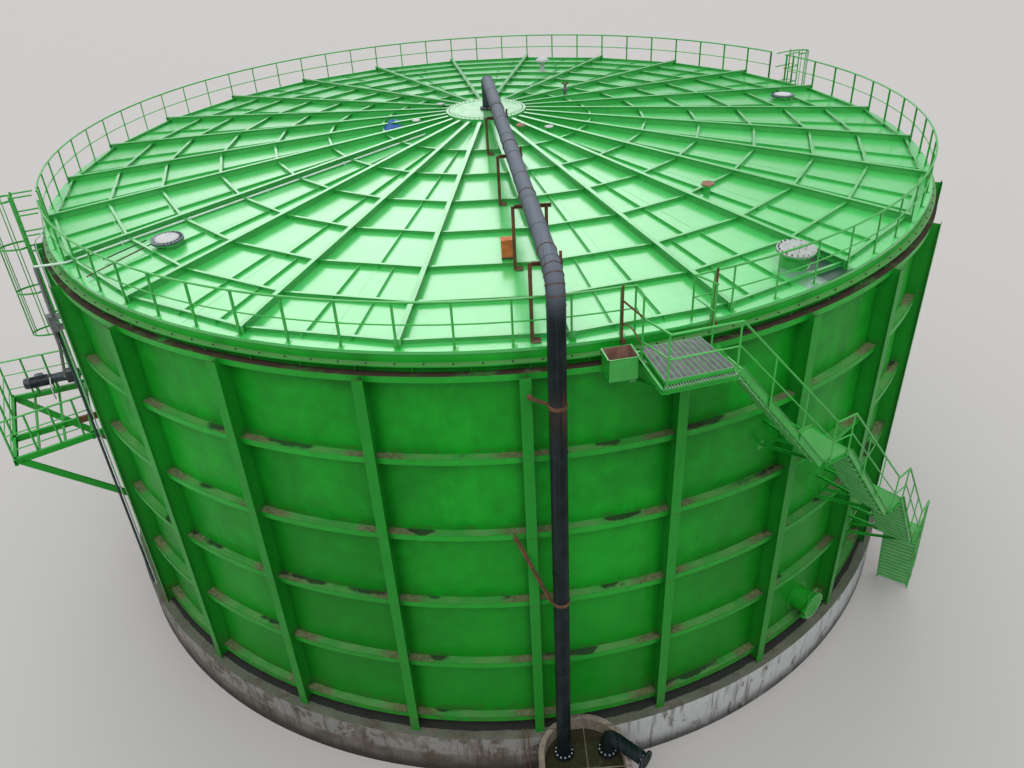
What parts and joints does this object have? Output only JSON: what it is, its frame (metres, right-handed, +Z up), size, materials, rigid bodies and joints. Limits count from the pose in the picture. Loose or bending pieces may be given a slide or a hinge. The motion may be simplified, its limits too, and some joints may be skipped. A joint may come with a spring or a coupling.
{
  "type": "covered biogas digester tank",
  "caption": "Round stiffened steel digester tank on a concrete plinth, with a ribbed cone roof, guard rails, an outside gas pipe, a landing stair and caged ladders.",
  "frame": {"origin": "on the axis of the tank, at the foot of the concrete plinth", "axes": "+Z up along the tank axis; -Y towards the riser of the gas pipe; +X to the right seen from there, the side the stair goes down"},
  "size_m": [28.5398, 28.8, 14.903],
  "materials": {
    "concrete": "rough cast concrete, whitewashed in places, stained",
    "tank_paint": "green gloss enamel, weathered, rust runs and dried mud",
    "roof_paint": "light green enamel, faded and dusty, rust at the welds",
    "rusted_steel": "bare rusted steel",
    "black_pipe": "smooth dark polymer pipe, dusty on top",
    "white_paint": "white enamel, grimy",
    "orange_box": "faded orange shell, worn edges",
    "drive_blue": "dark blue-grey machine enamel"
  },
  "bodies": {
    "root": {"back_caged_ladder": "tank_paint", "foundation_plinth": "concrete", "gas_outlet_elbow": "black_pipe", "gas_pipe": "black_pipe", "guard_rail_1": "tank_paint", "guard_rail_2": "tank_paint", "guard_rail_3": "tank_paint", "guard_rail_4": "tank_paint", "guard_rail_5": "tank_paint", "left_caged_ladder": "tank_paint", "mixer_drive": "drive_blue", "mixer_platform": "tank_paint", "pipe_sump": "concrete", "pipe_support_1": "rusted_steel", "pipe_support_2": "rusted_steel", "pipe_support_3": "rusted_steel", "pipe_support_4": "rusted_steel", "platform_rail": "tank_paint", "riser_clamp_upper": "rusted_steel", "riser_strut": "rusted_steel", "roof_deck": "roof_paint", "roof_frame_1": "roof_paint", "roof_frame_2": "roof_paint", "roof_frame_3": "roof_paint", "roof_frame_4": "roof_paint", "roof_hub": "roof_paint", "roof_junction_box": "orange_box", "roof_kerb_ring": "tank_paint", "roof_manway": "roof_paint", "roof_nozzle": "roof_paint", "roof_vent": "white_paint", "sight_manway_left": "white_paint", "sight_manway_right": "white_paint", "stair_flight_1": "tank_paint", "stair_flight_2": "tank_paint", "stair_flight_3": "tank_paint", "stair_flight_4": "tank_paint", "stair_landing_lower": "tank_paint", "stair_landing_middle": "tank_paint", "stair_landing_top": "tank_paint", "stair_landing_upper": "tank_paint", "stair_outer_rail": "tank_paint", "stiffener_frame_1": "tank_paint", "stiffener_frame_2": "tank_paint", "stiffener_frame_3": "tank_paint", "stiffener_frame_4": "tank_paint", "sump_crossover_pipe": "black_pipe", "wall_manway": "tank_paint", "wall_manway_cover": "tank_paint", "wall_segment_1": "tank_paint", "wall_segment_2": "tank_paint", "wall_segment_3": "tank_paint", "wall_segment_4": "tank_paint", "wall_top_flange": "tank_paint", "weir_box": "tank_paint"}
  },
  "joints": []
}
